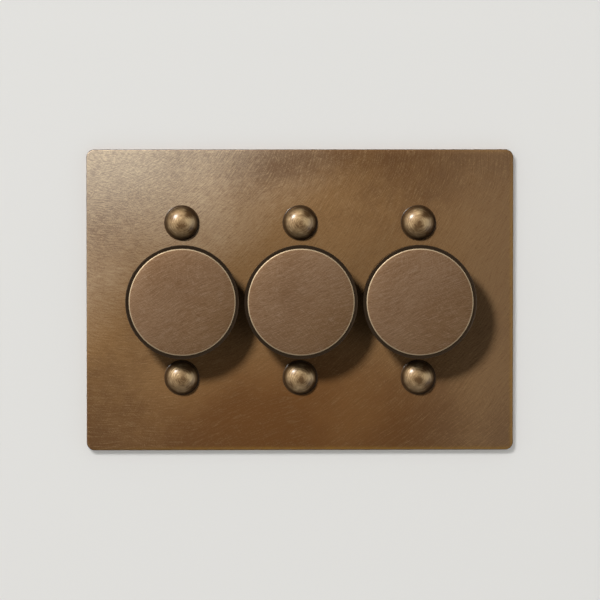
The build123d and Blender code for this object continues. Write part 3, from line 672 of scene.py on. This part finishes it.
def studio_cloth():
    """Dim glow with brighter soft cards."""
    finish = Finish("studio_cards")
    aim = finish.vector("NORMALIZE", finish.add("TexCoord").outputs["Object"])
    level = STUDIO_DIM
    for card, outer, inner, strength in STUDIO_CARDS:
        near = finish.vector("DOT_PRODUCT", aim, Vector(card).normalized())
        rim, full = math.cos(math.radians(outer)), math.cos(math.radians(inner))
        level = finish.math("ADD", finish.span(near, rim, full, to_low=0.0, to_high=strength), level)
    finish.show(finish.add("Emission", {"Strength": level}).outputs[0])
    return finish.material


# Mesh tools


def lathe(points, steps, centre):
    """Spins a profile of (radius, y) points about a Y axis through centre."""
    shape = bmesh.new()
    verts = [shape.verts.new((radius, y, 0.0)) for radius, y in points]
    edges = [shape.edges.new(pair) for pair in zip(verts, verts[1:])]
    bmesh.ops.spin(
        shape, geom=verts + edges, cent=(0, 0, 0), axis=(0, 1, 0), dvec=(0, 0, 0),
        angle=math.tau, steps=steps, use_merge=True,
    )
    bmesh.ops.remove_doubles(shape, verts=shape.verts, dist=MERGE_GAP)
    bmesh.ops.recalc_face_normals(shape, faces=shape.faces)
    bmesh.ops.translate(shape, verts=shape.verts, vec=centre)
    return shape


def rounded(points, index, size, steps):
    """Rounds one corner of a (radius, y) profile."""
    before, at, after = (Vector(points[index + k]) for k in (-1, 0, 1))
    start = at + (before - at).normalized() * size
    end = at + (after - at).normalized() * size
    curve = []
    for k in range(steps + 1):
        t = k / steps
        curve.append(tuple(start.lerp(at, t).lerp(at.lerp(end, t), t)))
    return points[:index] + curve + points[index + 1:]


def join(shapes):
    """One bmesh from several."""
    whole = bmesh.new()
    for shape in shapes:
        part = bpy.data.meshes.new("part")
        shape.to_mesh(part)
        shape.free()
        whole.from_mesh(part)
        bpy.data.meshes.remove(part)
    return whole


def put(name, shape, material):
    """An object at the origin, from a bmesh with its place in it."""
    mesh = bpy.data.meshes.new(name)
    shape.to_mesh(mesh)
    shape.free()
    mesh.materials.append(material)
    made = bpy.data.objects.new(name, mesh)
    bpy.context.scene.collection.objects.link(made)
    return made


def settle(name, shape, material, body, smooth_deg=SHARP_DEG, replaces=()):
    """Turns a bmesh into a finished piece that rides on a body."""
    made = put(name, shape, material)
    # A copied node brings its own normals, which would round off fine edges such as the knurl.
    copied = made.data.attributes.get("custom_normal")
    if copied:
        made.data.attributes.remove(copied)
    made.data.shade_smooth()
    made.data.set_sharp_from_angle(angle=math.radians(smooth_deg))
    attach(made, body)
    if replaces:
        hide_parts(*replaces)
    return made


def dress(node, material, body, bevel=0.0, smooth_deg=SHARP_DEG):
    """A merged, smooth-shaded copy of a CAD node with softened edges."""
    shape = bmesh.new()
    shape.from_mesh(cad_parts[node].data)
    bmesh.ops.remove_doubles(shape, verts=shape.verts, dist=MERGE_GAP)
    bmesh.ops.dissolve_limit(shape, angle_limit=math.radians(FLAT_DEG), verts=shape.verts, edges=shape.edges)
    made = settle(f"{node}_dressed", shape, material, body, smooth_deg, (node,))
    if bevel:
        soft = made.modifiers.new("edges", "BEVEL")
        soft.width = bevel
        soft.segments = SOFT_EDGE_STEPS
        soft.limit_method = "ANGLE"
        soft.angle_limit = math.radians(SOFT_EDGE_DEG)
        soft.harden_normals = False


def paint(stems, material):
    """Gives the CAD nodes of every gang a finish."""
    for stem in stems:
        for gang in GANGS:
            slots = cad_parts[f"{stem}_{gang}"].data.materials
            slots.clear()
            slots.append(material)


# Operators


class DIMMER_OT_face_plate(bpy.types.Operator):
    """Finish the face plate in aged bronze with worn edges."""

    bl_idname = "dimmer.face_plate"
    bl_label = "Face plate"

    def execute(self, context):
        bronze = bronze_plate(context.scene.dimmer.colours)
        dress("face_plate", bronze, "wall_unit", smooth_deg=25.0)
        return {"FINISHED"}


class DIMMER_OT_knobs(bpy.types.Operator):
    """Make the knurled grip sleeves and the metal caps of the knobs."""

    bl_idname = "dimmer.knobs"
    bl_label = "Knobs"

    def execute(self, context):
        settings = context.scene.dimmer
        tints = settings.colours
        grip = moulded(
            "grip_plastic", tints.grip, roughness=0.42, grain=6.0, depth=0.01 * MM,
            shine=0.50, glint=GRIP_GLINT,
        )
        metal = bronze_cap(tints)
        for gang in GANGS:
            dress(f"knob_sleeve_{gang}", grip, f"knob_{gang}", smooth_deg=32.0)
            self.cap(settings.sizes, metal, gang)
        return {"FINISHED"}

    def cap(self, sizes, metal, gang):
        """Slightly crowned disc with a rounded edge."""
        radius, bevel, crown = sizes.cap_radius, sizes.cap_bevel, sizes.cap_crown
        face = radius - bevel
        points = []
        for k in range(CAP_STEPS + 1):
            out = face * k / CAP_STEPS
            points.append((out, CAP_LOW.y + crown * (out / face) ** CAP_CROWN_POWER))
        points += [(radius, CAP_LOW.y + crown), (radius, CAP_HIGH.y), (0.0, CAP_HIGH.y)]
        points = rounded(points, CAP_STEPS + 1, bevel, CAP_EDGE_STEPS)
        shape = lathe(points, CAP_FACETS, (gang_x(gang), 0, 0))
        settle(
            f"metal_cap_{gang}", shape, metal, f"knob_{gang}",
            smooth_deg=25.0, replaces=[f"knob_cap_{gang}"],
        )


class DIMMER_OT_dome_screws(bpy.types.Operator):
    """Make the domed plate screws with their threads."""

    bl_idname = "dimmer.dome_screws"
    bl_label = "Dome screws"

    def execute(self, context):
        settings = context.scene.dimmer
        profile = self.head(settings.sizes) + self.shank(settings.sizes)
        places = [(gang_x(gang), 0, z) for gang in GANGS for z in (-DOME_Z, DOME_Z)]
        shape = join([lathe(profile, SCREW_FACETS, place) for place in places])
        bronze = turned_bronze(settings.colours)
        settle(
            "dome_screws_turned", shape, bronze, "wall_unit",
            smooth_deg=40.0, replaces=["dome_screws"],
        )
        return {"FINISHED"}

    def head(self, sizes):
        """Profile of the dome and its collar, down to the plate."""
        seat = PLATE_LOW.y
        collar = seat - sizes.collar_height
        outer = sizes.dome_radius
        half = outer - sizes.collar_width
        bulge = 2.0 / sizes.dome_fullness
        points = []
        for k in range(DOME_STEPS):
            angle = math.pi / 2 * k / DOME_STEPS
            rise = sizes.dome_height * math.cos(angle) ** bulge
            points.append((half * math.sin(angle) ** bulge, collar - rise))
        return points + [
            (half, collar - EDGE_BREAK),
            (half + EDGE_BREAK, collar),
            (outer - COLLAR_ROUND, collar),
            (outer - EDGE_BREAK, collar + EDGE_BREAK),
            (outer, collar + COLLAR_ROUND),
            (outer, seat - SEAT_BREAK),
            (outer - SEAT_BREAK, seat),
        ]

    def shank(self, sizes):
        """Profile of the threaded shank, from the plate to the tip."""
        seat, tip = PLATE_LOW.y, SCREWS_HIGH.y
        crest, pitch = sizes.screw_radius, sizes.thread_pitch
        groove = crest - sizes.thread_depth
        turns = int((tip - PLAIN_TIP - seat) / pitch)
        start = tip - PLAIN_TIP - turns * pitch
        points = [(crest, seat), (crest, start)]
        for k in range(turns):
            y = start + k * pitch
            points += [(groove, y + pitch / 2), (crest, y + pitch)]
        return points + [(groove - TIP_TAPER, tip), (0.0, tip)]


class DIMMER_OT_straps(bpy.types.Operator):
    """Finish the mounting straps, their nuts, rivets and earth screws."""

    bl_idname = "dimmer.straps"
    bl_label = "Straps"

    def execute(self, context):
        tints = context.scene.dimmer.colours
        zinc = plated("zinc_plate", tints.zinc, roughness=0.36)
        nickel = plated("nickel_plate", tints.nickel, roughness=0.26)
        green = plated("earth_green", tints.earth, roughness=0.34)
        for gang in GANGS:
            dress(f"mounting_strap_{gang}", zinc, "wall_unit", bevel=0.12 * MM)
        dress("bush_nuts", nickel, "wall_unit", bevel=0.1 * MM)
        dress("housing_rivets", nickel, "wall_unit", bevel=0.1 * MM)
        dress("earth_screws", green, "wall_unit", bevel=0.15 * MM)
        return {"FINISHED"}


class DIMMER_OT_housings(bpy.types.Operator):
    """Finish the rear housings and their wire terminals."""

    bl_idname = "dimmer.housings"
    bl_label = "Housings"

    def execute(self, context):
        tints = context.scene.dimmer.colours
        shell = moulded("housing_plastic", tints.housing, roughness=0.5, grain=4.0, depth=0.03 * MM)
        brass = plated("terminal_brass", tints.brass, roughness=0.27)
        for gang in GANGS:
            dress(f"rear_housing_{gang}", shell, "wall_unit", bevel=0.25 * MM)
        dress("terminal_plates", brass, "wall_unit", bevel=0.12 * MM)
        dress("terminal_screws", brass, "wall_unit", bevel=0.15 * MM)
        return {"FINISHED"}


class DIMMER_OT_controls(bpy.types.Operator):
    """Finish the controls, switches and boards inside the housings."""

    bl_idname = "dimmer.controls"
    bl_label = "Controls"

    def execute(self, context):
        settings = context.scene.dimmer
        tints = settings.colours
        steel = plated("bright_steel", tints.steel, roughness=0.25, streak=(1.0, 0.05, 1.0))
        cast = plated("cast_case", tints.cast, roughness=0.42)
        cream = moulded("cream_plastic", tints.cream, roughness=0.45, grain=5.0, depth=0.02 * MM)
        black = moulded("black_plastic", tints.black, roughness=0.4, grain=5.0, depth=0.02 * MM)
        brown = moulded("track_board", tints.brown, roughness=0.55, grain=3.0, depth=0.02 * MM)
        board = moulded("board_varnish", tints.board, roughness=0.28, grain=1.5, depth=0.01 * MM)
        copper = moulded("copper_winding", tints.copper, roughness=0.3, grain=2.0, depth=0.03 * MM)
        red = moulded("capacitor_red", tints.red, roughness=0.22, grain=3.0, depth=0.01 * MM)
        paint(("spindle", "hub_clip"), steel)
        paint(("control_case",), cast)
        paint(("wiper_rotor", "switch_case"), cream)
        paint(("switch_plunger", "triac"), black)
        paint(("track_plate",), brown)
        paint(("circuit_board",), board)
        paint(("choke",), copper)
        paint(("capacitor",), red)
        for gang in GANGS:
            self.spring(settings.sizes, steel, gang)
        return {"FINISHED"}

    def spring(self, sizes, steel, gang):
        """Coiled return spring of round wire."""
        wire = sizes.spring_wire
        coil = (SPRING_HIGH.x - SPRING_LOW.x) / 2 - wire
        start, end = SPRING_LOW.y + wire, SPRING_HIGH.y - wire
        steps = int(COIL_STEPS * sizes.spring_turns)
        shape = bmesh.new()
        ring = bmesh.ops.create_circle(shape, segments=WIRE_SIDES, radius=wire)["verts"]
        bmesh.ops.translate(shape, verts=ring, vec=(coil, 0, 0))
        edges = list(shape.edges)
        bmesh.ops.spin(
            shape, geom=ring + edges, cent=(0, 0, 0), axis=(0, 1, 0), dvec=(0, (end - start) / steps, 0),
            angle=math.tau * sizes.spring_turns, steps=steps,
        )
        ends = [edge for edge in shape.edges if edge.is_boundary]
        bmesh.ops.holes_fill(shape, edges=ends, sides=WIRE_SIDES)
        bmesh.ops.recalc_face_normals(shape, faces=shape.faces)
        bmesh.ops.translate(shape, verts=shape.verts, vec=(gang_x(gang), start, 0))
        made = settle(
            f"coil_spring_{gang}", shape, steel, "wall_unit",
            smooth_deg=60.0, replaces=[f"return_spring_{gang}"],
        )
        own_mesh(made)


class DIMMER_OT_stage(bpy.types.Operator):
    """Set up the wall, the light and the camera."""

    bl_idname = "dimmer.stage"
    bl_label = "Stage"

    def execute(self, context):
        settings = context.scene.dimmer
        context.scene.view_settings.view_transform = "Standard"
        self.wall(settings.colours.wall)
        self.world(context, settings.colours.wall, settings.light.ambient)
        self.studio()
        front = Vector((0, PLATE_LOW.y, 0))
        self.lamps(settings.light, front)
        self.camera(context, settings.light, front)
        return {"FINISHED"}

    def wall(self, tint):
        """Plain wall, open behind the plate and seen from the room's side only."""
        shape = bmesh.new()
        opening = bmesh.ops.create_grid(shape, x_segments=1, y_segments=1, size=0.5)["verts"]
        plate = PLATE_HIGH - PLATE_LOW
        bmesh.ops.scale(shape, verts=opening, vec=(plate.x - WALL_LAP, plate.z - WALL_LAP, 1.0))
        bmesh.ops.bevel(
            shape, geom=opening, offset=WALL_OPENING_R, offset_type="OFFSET", segments=WALL_CORNER_STEPS,
            profile=0.5, affect="VERTICES", material=-1,
        )
        bmesh.ops.create_grid(shape, x_segments=1, y_segments=1, size=WALL_HALF)
        bmesh.ops.delete(shape, geom=shape.faces[:], context="FACES_ONLY")
        bmesh.ops.bridge_loops(shape, edges=shape.edges[:])
        bmesh.ops.rotate(shape, verts=shape.verts, matrix=Matrix.Rotation(math.radians(90.0), 3, "X"))
        shape.normal_update()
        bmesh.ops.reverse_faces(shape, faces=[face for face in shape.faces if face.normal.y > 0.0])
        put("wall", shape, wall_paint(tint))

    def world(self, context, tint, ambient):
        """Even pale surroundings, dimmer as a light than as a background."""
        world = bpy.data.worlds.new("surroundings")
        world.use_nodes = True
        context.scene.world = world
        tree = world.node_tree
        glow = tree.nodes["Background"]
        glow.inputs["Color"].default_value = (*tint, 1.0)
        path = tree.nodes.new("ShaderNodeLightPath")
        seen = path.outputs["Is Camera Ray"]
        for name in ("Is Glossy Ray", "Is Transmission Ray"):
            either = tree.nodes.new("ShaderNodeMath")
            either.operation = "MAXIMUM"
            tree.links.new(seen, either.inputs[0])
            tree.links.new(path.outputs[name], either.inputs[1])
            seen = either.outputs[0]
        level = tree.nodes.new("ShaderNodeMapRange")
        level.inputs["To Min"].default_value = ambient
        level.inputs["To Max"].default_value = 1.0
        tree.links.new(seen, level.inputs["Value"])
        tree.links.new(level.outputs[0], glow.inputs["Strength"])

    def studio(self):
        """Dim studio in front of the wall, with soft cards that only shiny surfaces show."""
        shape = bmesh.new()
        around, up = STUDIO_GRID
        bmesh.ops.create_uvsphere(shape, u_segments=around, v_segments=up, radius=STUDIO_R)
        bmesh.ops.bisect_plane(
            shape, geom=shape.verts[:] + shape.edges[:] + shape.faces[:], plane_co=(0, STUDIO_BACK_Y, 0),
            plane_no=(0, 1, 0), clear_outer=True,
        )
        made = put("studio", shape, studio_cloth())
        made.visible_camera = False
        made.visible_diffuse = False
        made.visible_transmission = False
        made.visible_shadow = False

    def lamps(self, light, front):
        """Lamps on the wall, the metal, the screw heads and the back."""
        width = 2 * math.tan(light.lamp_angle / 2)
        far, near = light.wall_distance, light.metal_distance
        broad = WALL_LAMP_SPREAD * width * far
        on_wall = self.lamp("wall_lamp", WALL_LAMP_AIM, far, front, broad, light.wall_power)
        fill = self.lamp("fill_lamp", CAMERA_AIM, far, front, width * far, light.fill_power)
        for lamp in (on_wall, fill):
            lamp.visible_glossy = False
        on_metal = self.lamp("metal_lamp", METAL_LAMP_AIM, near, front, width * near, light.metal_power)
        on_domes = self.lamp("dome_lamp", DOME_LAMP_AIM, near, front, width * near, light.metal_power)
        for lamp in (on_metal, on_domes):
            lamp.visible_diffuse = False
        # The screw heads have their own lamp, and the sleeves shine from the cards alone.
        domes = bpy.data.objects["dome_screws_turned"]
        sleeves = [bpy.data.objects[f"knob_sleeve_{gang}_dressed"] for gang in GANGS]
        on_metal.light_linking.receiver_collection = self.linked("left_out", [domes, *sleeves], "EXCLUDE")
        on_domes.light_linking.receiver_collection = self.linked("domes", [domes], "INCLUDE")
        self.lamp("back_lamp", BACK_LAMP_AIM, light.back_distance, front, BACK_LAMP_SIZE, light.back_power)

    def linked(self, name, pieces, state):
        """Set of pieces that a lamp lights or leaves out."""
        made = bpy.data.collections.new(name)
        for piece in pieces:
            made.objects.link(piece)
        for entry in made.collection_objects:
            entry.light_linking.link_state = state
        return made

    def lamp(self, name, aim, distance, target, size, watts):
        """Round lamp that faces a target."""
        data = bpy.data.lights.new(name, "AREA")
        data.shape = "DISK"
        data.size = size
        data.energy = watts
        made = bpy.data.objects.new(name, data)
        bpy.context.scene.collection.objects.link(made)
        place = Vector(aim).normalized() * distance
        made.location = place
        made.rotation_euler = (target - place).to_track_quat("-Z", "Y").to_euler()
        return made

    def camera(self, context, light, front):
        """Camera nearly square on to the plate."""
        data = bpy.data.cameras.new("camera")
        data.sensor_width = SENSOR_MM
        data.lens = data.sensor_width * light.camera_distance / light.view_width
        data.clip_end = CLIP_END
        eye = bpy.data.objects.new("camera", data)
        context.scene.collection.objects.link(eye)
        eye.location = front + Vector(CAMERA_AIM).normalized() * light.camera_distance
        eye.rotation_euler = (front - eye.location).to_track_quat("-Z", "Y").to_euler()
        context.scene.camera = eye


PIECES = (
    DIMMER_OT_face_plate,
    DIMMER_OT_knobs,
    DIMMER_OT_dome_screws,
    DIMMER_OT_straps,
    DIMMER_OT_housings,
    DIMMER_OT_controls,
    DIMMER_OT_stage,
)


class DIMMER_PT_build(bpy.types.Panel):
    """Lists the dimmer's pieces and settings."""

    bl_idname = "DIMMER_PT_build"
    bl_label = "Wall dimmer"
    bl_space_type = "VIEW_3D"
    bl_region_type = "UI"
    bl_category = "Dimmer"

    def draw(self, context):
        for operator in PIECES:
            self.layout.operator(operator.bl_idname)
        settings = context.scene.dimmer
        for group in (settings.sizes, settings.colours, settings.light):
            box = self.layout.box()
            for name in group.__annotations__:
                box.prop(group, name)


CLASSES = (DimmerSizes, DimmerColours, DimmerLight, DimmerSettings, *PIECES, DIMMER_PT_build)


def register():
    for cls in CLASSES:
        bpy.utils.register_class(cls)
    bpy.types.Scene.dimmer = PointerProperty(type=DimmerSettings)


def unregister():
    del bpy.types.Scene.dimmer
    for cls in reversed(CLASSES):
        bpy.utils.unregister_class(cls)


def main():
    register()
    bpy.ops.dimmer.face_plate()
    bpy.ops.dimmer.knobs()
    bpy.ops.dimmer.dome_screws()
    bpy.ops.dimmer.straps()
    bpy.ops.dimmer.housings()
    bpy.ops.dimmer.controls()
    bpy.ops.dimmer.stage()


if __name__ == "__main__":
    main()
